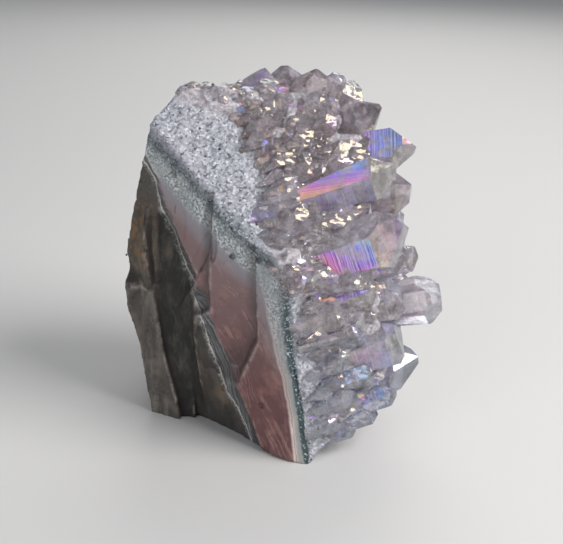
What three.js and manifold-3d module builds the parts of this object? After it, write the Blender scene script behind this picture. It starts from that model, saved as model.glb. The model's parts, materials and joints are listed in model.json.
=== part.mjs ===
// A standing piece of geode wall, about 100 mm tall: a basalt rind, a band of agate on it, and a crust of
// granular quartz that ends in coated amethyst crystals. Millimetres, +Z up, the stone stands on z = 0.
// The crystals point to +X and fan up over the top; the broken side that shows the layers faces -Y.
import * as THREE from "three";
import Module from "manifold-3d";
import { mergeVertices } from "three/addons/utils/BufferGeometryUtils.js";
import { TessellateModifier } from "three/addons/modifiers/TessellateModifier.js";

const wasm = await Module();
wasm.setup();

// ---- driving dimensions ----
const BLANK = 300; // side of the cube that every polyhedron is cut from
// Middle of the stone's box in the numbers below: the part's origin is moved there.
const MIDDLE = { x: -0.2, y: 0.5 };
const LAYER_GAP = 0.3; // clearance between two layers of the wall
const ROCK_EDGE = 10.5; // longest edge of a roughened rock face
const LAYER_EDGE = 18; // longest edge of a surface between two layers
const ROUGH = [ // broken rock: wavelength and height of each scale of relief
  { wave: 25, height: 1.3 },
  { wave: 11, height: 0.7 },
];

// ---- the wall ----
// Every convex shape is a list of faces: a point on the face and its outward normal.
const WALL = [
  { at: [0, 0, 0], out: [0, 0, -1] }, // flat base
  { at: [-37.2, -9.6, 2], out: [-0.96, 0.2, -0.2] }, // left side, leaning out to its widest
  { at: [-44.3, -8, 46], out: [-0.98, 0.2, 0.03] },
  { at: [-41.2, -7.2, 66.5], out: [-0.95, 0.2, 0.245] },
  { at: [-32.5, -3.5, 89.6], out: [-0.72, 0.1, 0.68] },
  { at: [-30, -3, 92.6], out: [-0.45, -0.1, 0.88] },
  { at: [-28, 12, 90], out: [-0.45, 0.4, 0.8] },
  { at: [-38, 24, 45], out: [-0.72, 0.69, 0.08] }, // left side, towards the back
  { at: [-10, 34, 40], out: [-0.1, 0.99, 0.05] }, // broken back
  { at: [-15, 26, 84], out: [-0.12, 0.72, 0.68] },
  { at: [-10, 0, 93.6], out: [0, 0.2, 0.98] }, // under the top crystals
  { at: [12, 2, 88.5], out: [0.5, 0.2, 0.84] },
  { at: [26, 0, 50], out: [0.98, 0, 0.16] }, // under the side crystals
  { at: [14, 0, 4], out: [0.78, -0.02, -0.62] },
  { at: [14, 30, 40], out: [0.6, 0.78, 0.15] },
  { at: [6.6, -36.2, 20], out: [-0.52, -0.854, 0] }, // broken side, across the layers
  { at: [-12, -24.5, 62.5], out: [0.02, -0.81, 0.59] }, // slanting break across the quartz
  { at: [7, -36, 10], out: [0.25, -0.96, 0.12] }, // granular strip beside the crystals
];

// Where the broken side is set back, leaving upright steps.
const SET_BACK = [
  [
    { at: [-17.7, -17.9, 0], out: [0.59, 0.79, 0.15] }, // foot of the broken side
    { at: [-21, -15, 0], out: [-0.98, 0.2, 0] },
  ],
  [
    { at: [-28.5, -11.8, 0], out: [0.263, 0.965, -0.01] }, // the dark face of the rind
    { at: [-22.5, -15, 30], out: [0.98, -0.15, 0] },
    { at: [-24, -15, 49], out: [0.86, 0.1, 0.5] },
    { at: [-31, -13, 63], out: [-0.2, 0.3, 0.93] },
    { at: [-38, -10, 58], out: [-0.98, 0.1, -0.17] },
  ],
  [
    { at: [-24.9, -15.6, 71], out: [0.54, 0.84, 0.03] }, // the upper agate
    { at: [-18.2, -21, 58], out: [0.99, 0.1, 0] },
    { at: [-20, -19.5, 40], out: [0.35, 0.6, -0.72] },
  ],
  [
    { at: [-15, -19.8, 10], out: [0.6, 0.78, 0.16] }, // the block of rind at the foot of the agate
    { at: [-14, -23, 24], out: [0.9, -0.1, 0.45] },
    { at: [-18, -20, 33], out: [-0.2, 0.5, 0.84] },
    { at: [-24.5, -15, 10], out: [-1, 0, 0] },
  ],
  [
    { at: [-29.4, -13, 68], out: [0.35, 0.93, 0.02] }, // the top of the agate
    { at: [-29.4, -14, 66], out: [0.99, 0.1, 0] },
    { at: [-33, -12, 58.5], out: [0.2, 0.1, -0.97] },
    { at: [-33, -12, 76], out: [0.1, 0.1, 0.98] },
  ],
  [
    { at: [-18.2, -21.1, 61], out: [-0.2, 0.94, 0.28] }, // notch under the upper agate
    { at: [-18.2, -21, 58], out: [0.99, 0.1, 0] },
    { at: [-23.5, -17.9, 46.3], out: [0.55, 0.1, -0.83] },
  ],
  [
    { at: [-17.2, -19.5, 45], out: [0.4, 0.92, 0.02] }, // facet below the notch
    { at: [-18.2, -21, 45], out: [0.99, 0.1, 0] },
    { at: [-22, -18, 35.5], out: [0.5, 0.2, -0.84] },
  ],
  [
    { at: [-5.2, -26.5, 30], out: [0.38, 0.92, 0.105] }, // the middle agate
    { at: [-5.2, -29, 42], out: [0.99, 0.1, 0.05] },
    { at: [-5.2, -29, 31], out: [0.93, 0.1, -0.36] },
    { at: [-12, -24.9, 15], out: [0.5, 0.82, -0.28] },
  ],
];

// What stands proud of it.
const PROUD = [
  [
    { at: [-1.5, -31.4, 58], out: [0.05, -0.45, 0.89] }, // shelf above the middle agate
    { at: [-5.2, -29.6, 56], out: [-0.53, -0.84, -0.12] },
    { at: [2.6, -33, 50], out: [0.45, -0.89, 0.1] },
    { at: [-17.4, -22, 56], out: [-0.8, 0.3, 0.52] },
    { at: [0, -10, 50], out: [0, 0.9, 0.4] },
    { at: [0, -32, 36], out: [-0.2, -0.7, -0.68] },
    { at: [5, -30, 50], out: [0.95, 0.3, 0] },
  ],
  [
    { at: [6.2, -37, 0.5], out: [-0.58, -0.81, 0.03] }, // lower agate
    { at: [-3.6, -29, 36], out: [-0.9, 0.1, 0.43] },
    { at: [-6.5, -28, 22], out: [-0.9, 0.3, -0.32] },
    { at: [0, 0, 0.3], out: [0, 0, -1] },
    { at: [0, -24, 20], out: [0.3, 0.95, 0] },
    { at: [3.6, -35, 20], out: [0.9, -0.4, 0.12] },
    { at: [2, -34, 40], out: [0.2, 0, 0.98] },
  ],
  [
    { at: [-40.9, -6, 52], out: [-0.88, -0.45, 0.12] }, // knob high on the left edge
    { at: [-40, -8, 62], out: [-0.45, -0.5, 0.74] },
    { at: [-41.2, -7, 47], out: [-0.84, -0.45, -0.3] },
    { at: [-38, -11.2, 55], out: [-0.35, -0.93, 0.08] },
    { at: [-36, -9, 55], out: [0.75, -0.65, 0.1] },
    { at: [-40, -1.5, 56], out: [0.1, 0.98, 0.1] },
  ],
];

// Everything on the rock side of the quartz, and everything on the rock side of the agate.
const UNDER_QUARTZ = [
  { at: [4, -34, 35], out: [0.985, -0.06, 0.15] },
  { at: [-12, -25, 61.5], out: [0.5, -0.2, 0.84] },
];
const UNDER_AGATE = [
  { at: [-18.5, -22.5, 28], out: [0.93, -0.2, 0.4] },
  { at: [-32, -12.7, 60], out: [0.83, -0.2, 0.45] },
];

// Small pits in the broken side.
const PITS = [
  { at: [-31, -13, 52], radius: [3.2, 3, 7.5] },
  { at: [-4.2, -29.9, 14], radius: [0.9, 1.2, 0.9] },
  { at: [-12.1, -25.2, 54.4], radius: [0.7, 1.4, 0.6] },
  { at: [-5.1, -29.4, 55], radius: [0.9, 1.6, 0.8] },
  { at: [-17.5, -22, 56], radius: [1.2, 2.4, 4.6] },
];

// ---- numbers that stay the same in every run ----
const wobble = (a, b, c) => {
  const s = Math.sin(a * 127.1 + b * 311.7 + c * 74.7) * 43758.5453;
  return s - Math.floor(s);
};

const smooth = (t) => t * t * (3 - 2 * t);

// Value noise, from -1 to 1, on a lattice one unit wide.
function noise(x, y, z, seed) {
  const [i, j, k] = [Math.floor(x), Math.floor(y), Math.floor(z)];
  const [u, v, w] = [smooth(x - i), smooth(y - j), smooth(z - k)];
  let sum = 0;
  for (let corner = 0; corner < 8; corner++) {
    const [a, b, c] = [corner & 1, (corner >> 1) & 1, corner >> 2];
    const weight = (a ? u : 1 - u) * (b ? v : 1 - v) * (c ? w : 1 - w);
    sum += weight * wobble(i + a + seed * 17.3, j + b, k + c);
  }
  return 2 * sum - 1;
}

// ---- making solids ----
function solidFrom(geometry) {
  const bare = new THREE.BufferGeometry().setAttribute("position", geometry.getAttribute("position"));
  if (geometry.index) bare.setIndex(geometry.index);
  const merged = mergeVertices(bare, 1e-3);
  return new wasm.Manifold(
    new wasm.Mesh({
      numProp: 3,
      vertProperties: new Float32Array(merged.attributes.position.array),
      triVerts: new Uint32Array(merged.index.array),
    }),
  );
}

function geometryFrom(solid) {
  const mesh = solid.getMesh();
  const geometry = new THREE.BufferGeometry();
  geometry.setAttribute("position", new THREE.BufferAttribute(new Float32Array(mesh.vertProperties), 3));
  geometry.setIndex(new THREE.BufferAttribute(new Uint32Array(mesh.triVerts), 1));
  return geometry;
}

// Keeps the outer surface only: specks sealed between crystals, and chips that touch nothing, are left out.
function outerShell(geometry) {
  const corners = geometry.index.array;
  const group = Array.from({ length: geometry.getAttribute("position").count }, (_, i) => i);
  const find = (i) => {
    while (group[i] !== i) i = group[i] = group[group[i]];
    return i;
  };
  for (let t = 0; t < corners.length; t += 3) {
    group[find(corners[t + 1])] = find(corners[t]);
    group[find(corners[t + 2])] = find(corners[t]);
  }
  const shells = new Map();
  for (let t = 0; t < corners.length; t += 3) {
    const shell = find(corners[t]);
    if (!shells.has(shell)) shells.set(shell, []);
    shells.get(shell).push(...corners.slice(t, t + 3));
  }
  const [largest] = [...shells.values()].sort((a, b) => b.length - a.length);
  return geometry.setIndex(largest);
}

const blank = () => solidFrom(new THREE.BoxGeometry(BLANK, BLANK, BLANK));

// Cuts a blank back to the faces given.
function polyhedron(faces) {
  return faces.reduce((solid, { at, out }) => {
    const inward = new THREE.Vector3(...out).normalize().negate();
    return solid.trimByPlane(inward.toArray(), inward.dot(new THREE.Vector3(...at)));
  }, blank());
}

// Moves space itself, so that two touching surfaces stay touching. The base stays flat.
function weathered([x, y, z]) {
  const moved = [x, y, z];
  const lift = Math.min(1, z / 4);
  ROUGH.forEach(({ wave, height }, scale) => {
    for (let axis = 0; axis < 3; axis++) {
      const held = axis === 2 ? lift : 1;
      moved[axis] += held * height * noise(x / wave, y / wave, z / (wave * 1.5), scale * 3 + axis);
    }
  });
  return moved;
}

function roughened(solid, edge) {
  const fine = new TessellateModifier(edge, 12).modify(geometryFrom(solid).toNonIndexed());
  const position = fine.getAttribute("position");
  for (let i = 0; i < position.count; i++) {
    position.setXYZ(i, ...weathered([position.getX(i), position.getY(i), position.getZ(i)]));
  }
  return solidFrom(fine);
}

function pit({ at, radius }) {
  return solidFrom(new THREE.IcosahedronGeometry(1, 1).scale(...radius).translate(...at));
}

// ---- crystals ----
// A six-sided prism with a six-sided point, its faces at uneven distances from the axis as in grown quartz.
const POINT_SLOPE = 38.2 * (Math.PI / 180); // angle between a point's face and the crystal's axis
const UNEVEN = 0.22; // share by which a prism face lies nearer or further
const TAPER = 6 * (Math.PI / 180); // a crowded crystal narrows towards its root
const BLUNT = { least: 0.1, most: 0.5 }; // how much of a tip is chipped off, in radii

function crystal({ tip, axis, radius, length, roll, seed, taper = TAPER }) {
  const along = new THREE.Vector3(...axis).normalize();
  const across = new THREE.Vector3(0, 0, 1).cross(along).normalize().applyAxisAngle(along, roll);
  const end = new THREE.Vector3(...tip);
  const root = end.clone().addScaledVector(along, -length);
  const faces = [{ at: root.toArray(), out: along.clone().negate().toArray() }];
  for (let side = 0; side < 6; side++) {
    const out = across.clone().applyAxisAngle(along, (side * Math.PI) / 3);
    const reach = radius * (1 + UNEVEN * (2 * wobble(seed, side, 1) - 1));
    const wall = out.clone().multiplyScalar(Math.cos(taper)).addScaledVector(along, -Math.sin(taper));
    faces.push({ at: end.clone().addScaledVector(out, reach).toArray(), out: wall.toArray() });
    const slope = out.clone().multiplyScalar(Math.cos(POINT_SLOPE));
    slope.addScaledVector(along, Math.sin(POINT_SLOPE));
    const lift = (side % 2 ? 0.0 : 0.35) * radius * wobble(seed, side, 2);
    faces.push({ at: end.clone().addScaledVector(along, lift).toArray(), out: slope.toArray() });
  }
  const lean = new THREE.Vector3(...[1, 2, 3].map((part) => 0.9 * (wobble(seed, part, 5) - 0.5)));
  const blunt = radius * THREE.MathUtils.lerp(BLUNT.least, BLUNT.most, wobble(seed, 4, 5));
  faces.push({ at: end.addScaledVector(along, -blunt).toArray(), out: lean.add(along).toArray() });
  return polyhedron(faces);
}

// The large crystals, from the top round to the foot; the last two fill in the top.
const LARGE = [
  { tip: [9.3, 4, 100.6], axis: [0.35, -0.1, 0.93], radius: 6.5, length: 24, roll: 0.2 },
  { tip: [-9, 10, 100.6], axis: [0, 0.2, 0.97], radius: 7, length: 24, roll: 0.5 },
  { tip: [19, 5, 97.6], axis: [0.45, 0.1, 0.88], radius: 5.6, length: 24, roll: 0.1 },
  { tip: [26, -3.5, 92], axis: [0.8, -0.15, 0.58], radius: 7.5, length: 26, roll: 0.4 },
  { tip: [36, -8, 81.3], axis: [0.98, -0.08, 0.1], radius: 6.5, length: 34, roll: 0.3 },
  { tip: [31, -15.5, 78], axis: [0.92, 0, 0.36], radius: 8, length: 36, roll: 0.35 },
  { tip: [36, -13, 71], axis: [0.98, 0, 0.1], radius: 6.8, length: 34, roll: 0.1 },
  { tip: [34.5, -21.5, 63], axis: [0.92, 0, 0.35], radius: 9, length: 38, roll: 0 },
  { tip: [34, -20, 56.5], axis: [0.92, 0, 0.35], radius: 6, length: 34, roll: 0 },
  { tip: [38.5, -8, 53], axis: [0.85, 0.1, 0.5], radius: 4, length: 30, roll: 0.3 },
  { tip: [47.3, -17, 43], axis: [0.95, -0.2, 0.3], radius: 7.6, length: 36, roll: 0.75 },
  { tip: [35, -24, 44], axis: [0.93, -0.1, 0.33], radius: 5, length: 26, roll: 0.1 },
  { tip: [36, -23.5, 34.5], axis: [0.92, 0.1, 0.35], radius: 8.5, length: 32, roll: 0.1 },
  { tip: [40, -17, 24], axis: [0.95, 0, 0.28], radius: 8, length: 32, roll: 0.45 },
  { tip: [33, -26, 18], axis: [0.9, 0.1, 0.42], radius: 4.2, length: 24, roll: 0.1 },
  { tip: [28, -27.5, 12.5], axis: [0.9, 0.1, 0.42], radius: 3.4, length: 24, roll: 0 },
  { tip: [22, -29, 8], axis: [0.9, 0.1, 0.42], radius: 3, length: 20, roll: 0.2 },
  { tip: [14.5, 8, 99.4], axis: [0.3, 0.1, 0.92], radius: 5, length: 22, roll: 0.3 },
  { tip: [0.5, 12, 100.8], axis: [0.1, 0.1, 0.95], radius: 5, length: 22, roll: 0.1 },
  { tip: [26, -28.5, 49], axis: [0.92, 0, 0.4], radius: 4.6, length: 22, roll: 0.3 },
  { tip: [18, -31, 43.5], axis: [0.9, 0.05, 0.4], radius: 3.8, length: 18, roll: 0 },
  { tip: [24, -29.5, 37.5], axis: [0.92, 0.1, 0.3], radius: 4.4, length: 20, roll: 0.5 },
  { tip: [20, -31.5, 31], axis: [0.9, 0, 0.45], radius: 3.8, length: 18, roll: 0.2 },
  { tip: [27, -30, 26], axis: [0.93, 0.1, 0.3], radius: 4.2, length: 20, roll: 0.4 },
  { tip: [21, -32, 20], axis: [0.9, 0.05, 0.42], radius: 3.6, length: 18, roll: 0.1 },
  { tip: [17, -33.5, 12.5], axis: [0.9, 0.1, 0.4], radius: 3, length: 16, roll: 0.3 },
];

// Where the rest of the crust ends: points along its outline, from the upper left over the top to the foot,
// with the direction in which the crystals grow there and how big they are.
const CREST = [
  { at: [-30, 92], grow: [-0.3, 0.95], size: 3.4 },
  { at: [-16, 95.5], grow: [0, 1], size: 4 },
  { at: [-2, 97], grow: [0.2, 1], size: 4.4 },
  { at: [11, 96.5], grow: [0.4, 0.9], size: 4.6 },
  { at: [22, 92], grow: [0.7, 0.7], size: 4.8 },
  { at: [32, 81], grow: [0.9, 0.4], size: 5.2 },
  { at: [35.5, 66], grow: [0.96, 0.28], size: 5.6 },
  { at: [37, 52], grow: [0.96, 0.28], size: 5.6 },
  { at: [38.5, 38], grow: [0.97, 0.22], size: 5.4 },
  { at: [33, 24], grow: [0.97, 0.15], size: 4.8 },
  { at: [24, 11], grow: [0.97, 0.05], size: 4.2 },
];
const CREST_CRYSTALS = 92;
const BACK_SLOPE = 0.2; // the top falls towards the back
const DEPTH = { front: -30, back: 31 };

// A point along the crest, share running from 0 to 1.
function onCrest(share) {
  const place = share * (CREST.length - 1);
  const index = Math.min(Math.floor(place), CREST.length - 2);
  const [from, to] = [CREST[index], CREST[index + 1]];
  const mix = (a, b) => a + (b - a) * (place - index);
  return {
    at: [0, 1].map((i) => mix(from.at[i], to.at[i])),
    grow: [0, 1].map((i) => mix(from.grow[i], to.grow[i])),
    size: mix(from.size, to.size),
  };
}

// Spread evenly by two irrational steps, then turned and sized a little differently each.
function crestCrystals() {
  const shapes = [];
  for (let n = 0; n < CREST_CRYSTALS; n++) {
    const seed = 100 + n;
    const vary = (c) => wobble(seed, c, 3) - 0.5;
    const { at, grow, size } = onCrest((0.5 + n * 0.7548776662) % 1);
    const y = DEPTH.front + (DEPTH.back - DEPTH.front) * ((0.5 + n * 0.5698402910) % 1);
    // The slanting break takes the front of the crust away towards the top, and the back falls away too.
    if (y < -27 + Math.max(0, at[1] - 60) * 0.74 || y > 33 - Math.max(0, at[1] - 70) * 0.5) continue;
    const sink = 2 + 3.5 * Math.abs((y - 2) / 30) ** 3 + 2.5 * vary(5);
    const fall = BACK_SLOPE * Math.max(0, y + 5) * Math.max(0, grow[1]);
    shapes.push({
      tip: [at[0] - grow[0] * sink, y, at[1] - grow[1] * sink - fall],
      axis: [grow[0] + 0.4 * vary(6), 0.006 * y + 0.5 * vary(7), grow[1] + 0.4 * vary(8)],
      radius: size * (1 + 0.7 * vary(9)),
      length: 20,
      roll: wobble(seed, 10, 3),
      seed,
    });
  }
  return shapes;
}

// Small crystals scattered over a parallelogram: from one corner, along u and along v.
const PATCHES = [
  // broken through lengthwise, lying in the slanting break
  { from: [1, -29, 56], u: [24, 0, 1], v: [-4, 24, 33], axis: [0.8, 0.15, 0.5], radius: 3.2, count: 18 },
  // and in the front of the crust
  { from: [17, -33, 5], u: [10, 2.5, 2], v: [-3, 5, 46], axis: [0.9, 0.15, 0.35], radius: 3, count: 4 },
  // along the upper edge of the slanting break
  { from: [-31, -1, 92.5], u: [30, 0, 3], v: [2, 9, -0.5], axis: [0.1, -0.1, 1], radius: 2.4, count: 12 },
];
const SMALL_LENGTH = 13;
const LENGTHWISE_TAPER = 13 * (Math.PI / 180);

function patchCrystals({ from, u, v, axis, radius, count }, patch) {
  return Array.from({ length: count }, (_, n) => {
    const seed = 400 + 50 * patch + n;
    const vary = (c) => wobble(seed, c, 4) - 0.5;
    const [s, t] = [(0.5 + n * 0.7548776662) % 1, (0.5 + n * 0.569840291) % 1];
    return {
      tip: from.map((start, i) => start + s * u[i] + t * v[i] + (i === 1 ? 1.5 * vary(1) : 0)),
      axis: axis.map((part, i) => part + 0.3 * vary(2 + i)),
      radius: radius * (1 + vary(5)),
      length: SMALL_LENGTH,
      roll: vary(6),
      seed,
      taper: LENGTHWISE_TAPER,
    };
  });
}

const large = LARGE.map((shape, seed) => ({ ...shape, seed }));
const crystals = [...large, ...crestCrystals(), ...PATCHES.flatMap(patchCrystals)].map(crystal);

// ---- the three layers ----
const blocks = (shapes) => wasm.Manifold.union(shapes.map(polyhedron));
const broken = polyhedron(WALL).subtract(blocks(SET_BACK)).add(blocks(PROUD));
const onGround = (solid) => solid.trimByPlane([0, 0, 1], 0);
const wall = onGround(roughened(broken, ROCK_EDGE).subtract(wasm.Manifold.union(PITS.map(pit))));

const underQuartz = roughened(polyhedron(UNDER_QUARTZ), LAYER_EDGE);
const underAgate = roughened(polyhedron(UNDER_AGATE), LAYER_EDGE);
const clear = (solid) => solid.translate(LAYER_GAP, 0, LAYER_GAP);

const rind = wall.intersect(underAgate);
const agate = wall.intersect(underQuartz).subtract(clear(underAgate));
const crust = onGround(wasm.Manifold.union([wall, ...crystals])).subtract(clear(underQuartz));

const LAYERS = [
  { name: "basalt_rind", solid: rind, color: 0x5a5145, roughness: 0.9 },
  { name: "agate_band", solid: agate, color: 0xa8615c, roughness: 0.5 },
  { name: "amethyst_crust", solid: crust, color: 0xb4adc0, roughness: 0.2 },
];

const stone = new THREE.Group();
for (const { name, solid, color, roughness } of LAYERS) {
  const material = new THREE.MeshStandardMaterial({ color, roughness, metalness: 0 });
  const mesh = new THREE.Mesh(outerShell(geometryFrom(solid)), material);
  mesh.name = name;
  stone.add(mesh);
}

stone.children.forEach((mesh) => mesh.geometry.translate(-MIDDLE.x, -MIDDLE.y, 0));

export default stone;
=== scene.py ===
"""Looks for a standing piece of geode wall: basalt rind, agate band, granular quartz, coated crystals."""
import json
import math

import bmesh
import bpy
import numpy as np
from mathutils import Matrix, Vector, kdtree

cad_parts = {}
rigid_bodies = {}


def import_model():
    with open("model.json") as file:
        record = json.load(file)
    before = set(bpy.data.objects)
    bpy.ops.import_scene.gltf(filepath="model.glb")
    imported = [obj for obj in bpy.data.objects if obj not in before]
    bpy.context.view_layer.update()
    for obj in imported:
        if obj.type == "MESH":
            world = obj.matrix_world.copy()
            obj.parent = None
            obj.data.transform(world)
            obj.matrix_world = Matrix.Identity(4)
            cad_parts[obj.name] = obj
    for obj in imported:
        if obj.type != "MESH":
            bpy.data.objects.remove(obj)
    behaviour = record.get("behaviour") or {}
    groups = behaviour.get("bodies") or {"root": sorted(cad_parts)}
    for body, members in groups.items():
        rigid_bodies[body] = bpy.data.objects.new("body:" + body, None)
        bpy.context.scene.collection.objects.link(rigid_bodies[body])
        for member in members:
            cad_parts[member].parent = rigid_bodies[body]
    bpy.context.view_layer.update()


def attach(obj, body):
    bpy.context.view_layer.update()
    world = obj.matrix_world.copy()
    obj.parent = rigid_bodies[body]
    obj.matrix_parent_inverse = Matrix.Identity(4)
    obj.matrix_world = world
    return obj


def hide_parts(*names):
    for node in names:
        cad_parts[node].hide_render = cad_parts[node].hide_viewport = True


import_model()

# Everything below is worked out in millimetres and turned into metres when a piece is finished.
MM = 0.001
MIDDLE = np.array([-0.2, 0.5, 0.0])  # of the stone's box in these numbers: the frame's origin
BLANK = 300  # side of the cube that every polyhedron is cut from
ROCK_GRAIN = 0.6  # size of a rock mesh face
LAYER_GRAIN = 2.5  # size of a face between two layers
ROUGH = [(25, 1.3), (11, 0.7)]  # broken rock: wavelength and height of each scale of relief

# ---- the wall: a face is a point on it and its outward normal ----
WALL = [
    ((0, 0, 0), (0, 0, -1)),
    ((-37.2, -9.6, 2), (-0.96, 0.2, -0.2)),
    ((-44.3, -8, 46), (-0.98, 0.2, 0.03)),
    ((-41.2, -7.2, 66.5), (-0.95, 0.2, 0.245)),
    ((-32.5, -3.5, 89.6), (-0.72, 0.1, 0.68)),
    ((-30, -3, 92.6), (-0.45, -0.1, 0.88)),
    ((-28, 12, 90), (-0.45, 0.4, 0.8)),
    ((-38, 24, 45), (-0.72, 0.69, 0.08)),
    ((-10, 34, 40), (-0.1, 0.99, 0.05)),
    ((-15, 26, 84), (-0.12, 0.72, 0.68)),
    ((-10, 0, 93.6), (0.0, 0.2, 0.98)),
    ((12, 2, 88.5), (0.5, 0.2, 0.84)),
    ((26, 0, 50), (0.98, 0, 0.16)),
    ((14, 0, 4), (0.78, -0.02, -0.62)),
    ((14, 30, 40), (0.6, 0.78, 0.15)),
    ((6.6, -36.2, 20), (-0.52, -0.854, 0)),
    ((-12, -24.5, 62.5), (0.02, -0.81, 0.59)),
    ((7, -36, 10), (0.25, -0.96, 0.12)),
]
BROKEN_SIDES = WALL[-2:]  # the slanting break and the front
SET_BACK = [
    [  # foot of the broken side
        ((-17.7, -17.9, 0), (0.59, 0.79, 0.15)),
        ((-21, -15, 0), (-0.98, 0.2, 0.0)),
    ],
    [  # the dark face of the rind
        ((-28.5, -11.8, 0), (0.263, 0.965, -0.01)),
        ((-22.5, -15, 30), (0.98, -0.15, 0.0)),
        ((-24, -15, 49), (0.86, 0.1, 0.5)),
        ((-31, -13, 63), (-0.2, 0.3, 0.93)),
        ((-38, -10, 58), (-0.98, 0.1, -0.17)),
    ],
    [  # the upper agate
        ((-24.9, -15.6, 71), (0.54, 0.84, 0.03)),
        ((-18.2, -21, 58), (0.99, 0.1, 0.0)),
        ((-20, -19.5, 40), (0.35, 0.6, -0.72)),
    ],
    [  # the block of rind at the foot of the agate
        ((-15, -19.8, 10), (0.6, 0.78, 0.16)),
        ((-14, -23, 24), (0.9, -0.1, 0.45)),
        ((-18, -20, 33), (-0.2, 0.5, 0.84)),
        ((-24.5, -15, 10), (-1, 0, 0)),
    ],
    [  # top of the agate
        ((-29.4, -13, 68), (0.35, 0.93, 0.02)),
        ((-29.4, -14, 66), (0.99, 0.1, 0)),
        ((-33, -12, 58.5), (0.2, 0.1, -0.97)),
        ((-33, -12, 76), (0.1, 0.1, 0.98)),
    ],
    [  # notch under the upper agate
        ((-18.2, -21.1, 61), (-0.2, 0.94, 0.28)),
        ((-18.2, -21, 58), (0.99, 0.1, 0)),
        ((-23.5, -17.9, 46.3), (0.55, 0.1, -0.83)),
    ],
    [  # facet below the notch
        ((-17.2, -19.5, 45), (0.4, 0.92, 0.02)),
        ((-18.2, -21, 45), (0.99, 0.1, 0)),
        ((-22, -18, 35.5), (0.5, 0.2, -0.84)),
    ],
    [  # middle agate
        ((-5.2, -26.5, 30), (0.38, 0.92, 0.105)),
        ((-5.2, -29, 42), (0.99, 0.1, 0.05)),
        ((-5.2, -29, 31), (0.93, 0.1, -0.36)),
        ((-12, -24.9, 15), (0.5, 0.82, -0.28)),
    ],
]
HOLLOW_CUT, BLOCK_CUT = SET_BACK[1], SET_BACK[3]
PROUD = [
    [  # shelf above the middle agate
        ((-1.5, -31.4, 58), (0.05, -0.45, 0.89)),
        ((-5.2, -29.6, 56), (-0.53, -0.84, -0.12)),
        ((2.6, -33, 50), (0.45, -0.89, 0.1)),
        ((-17.4, -22, 56), (-0.8, 0.3, 0.52)),
        ((0, -10, 50), (0, 0.9, 0.4)),
        ((0, -32, 36), (-0.2, -0.7, -0.68)),
        ((5, -30, 50), (0.95, 0.3, 0)),
    ],
    [  # lower agate
        ((6.2, -37, 0.5), (-0.58, -0.81, 0.03)),
        ((-3.6, -29, 36), (-0.9, 0.1, 0.43)),
        ((-6.5, -28, 22), (-0.9, 0.3, -0.32)),
        ((0, 0, 0.3), (0, 0, -1)),
        ((0, -24, 20), (0.3, 0.95, 0)),
        ((3.6, -35, 20), (0.9, -0.4, 0.12)),
        ((2, -34, 40), (0.2, 0.0, 0.98)),
    ],
    [  # knob high on the left edge
        ((-40.9, -6, 52), (-0.88, -0.45, 0.12)),
        ((-40, -8, 62), (-0.45, -0.5, 0.74)),
        ((-41.2, -7, 47), (-0.84, -0.45, -0.3)),
        ((-38, -11.2, 55), (-0.35, -0.93, 0.08)),
        ((-36, -9, 55), (0.75, -0.65, 0.1)),
        ((-40, -1.5, 56), (0.1, 0.98, 0.1)),
    ],
]
UNDER_QUARTZ = [
    ((4, -34, 35), (0.985, -0.06, 0.15)),
    ((-12, -25, 61.5), (0.5, -0.2, 0.84)),
]
UNDER_AGATE = [
    ((-18.5, -22.5, 28), (0.93, -0.2, 0.4)),
    ((-32, -12.7, 60), (0.83, -0.2, 0.45)),
]
KNOB_AT = (-42, -8, 54)
PITS = [  # middle, and radius along each axis
    ((-31, -13, 52), (3.2, 3.0, 7.5)),
    ((-4.2, -29.9, 14), (0.9, 1.2, 0.9)),
    ((-12.1, -25.2, 54.4), (0.7, 1.4, 0.6)),
    ((-5.1, -29.4, 55), (0.9, 1.6, 0.8)),
    ((-17.5, -22, 56), (1.2, 2.4, 4.6)),
]

# ---- crystals ----
POINT_SLOPE = math.radians(38.2)  # angle between a point's face and the crystal's axis
UNEVEN = 0.22  # share by which a prism face lies nearer or further
TAPER = math.radians(6)  # a crowded crystal narrows towards its root
LENGTHWISE_TAPER = math.radians(13)  # the same, for a crystal broken through along its length
BLUNT = (0.1, 0.5)  # how much of a tip is chipped off, in radii

LAST_SIDE_FACE = 12  # the worn tip and the cleft come after it
ON_POINT = 10  # added to the number of a prism side, 0 to 5, for the point's face above it
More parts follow.
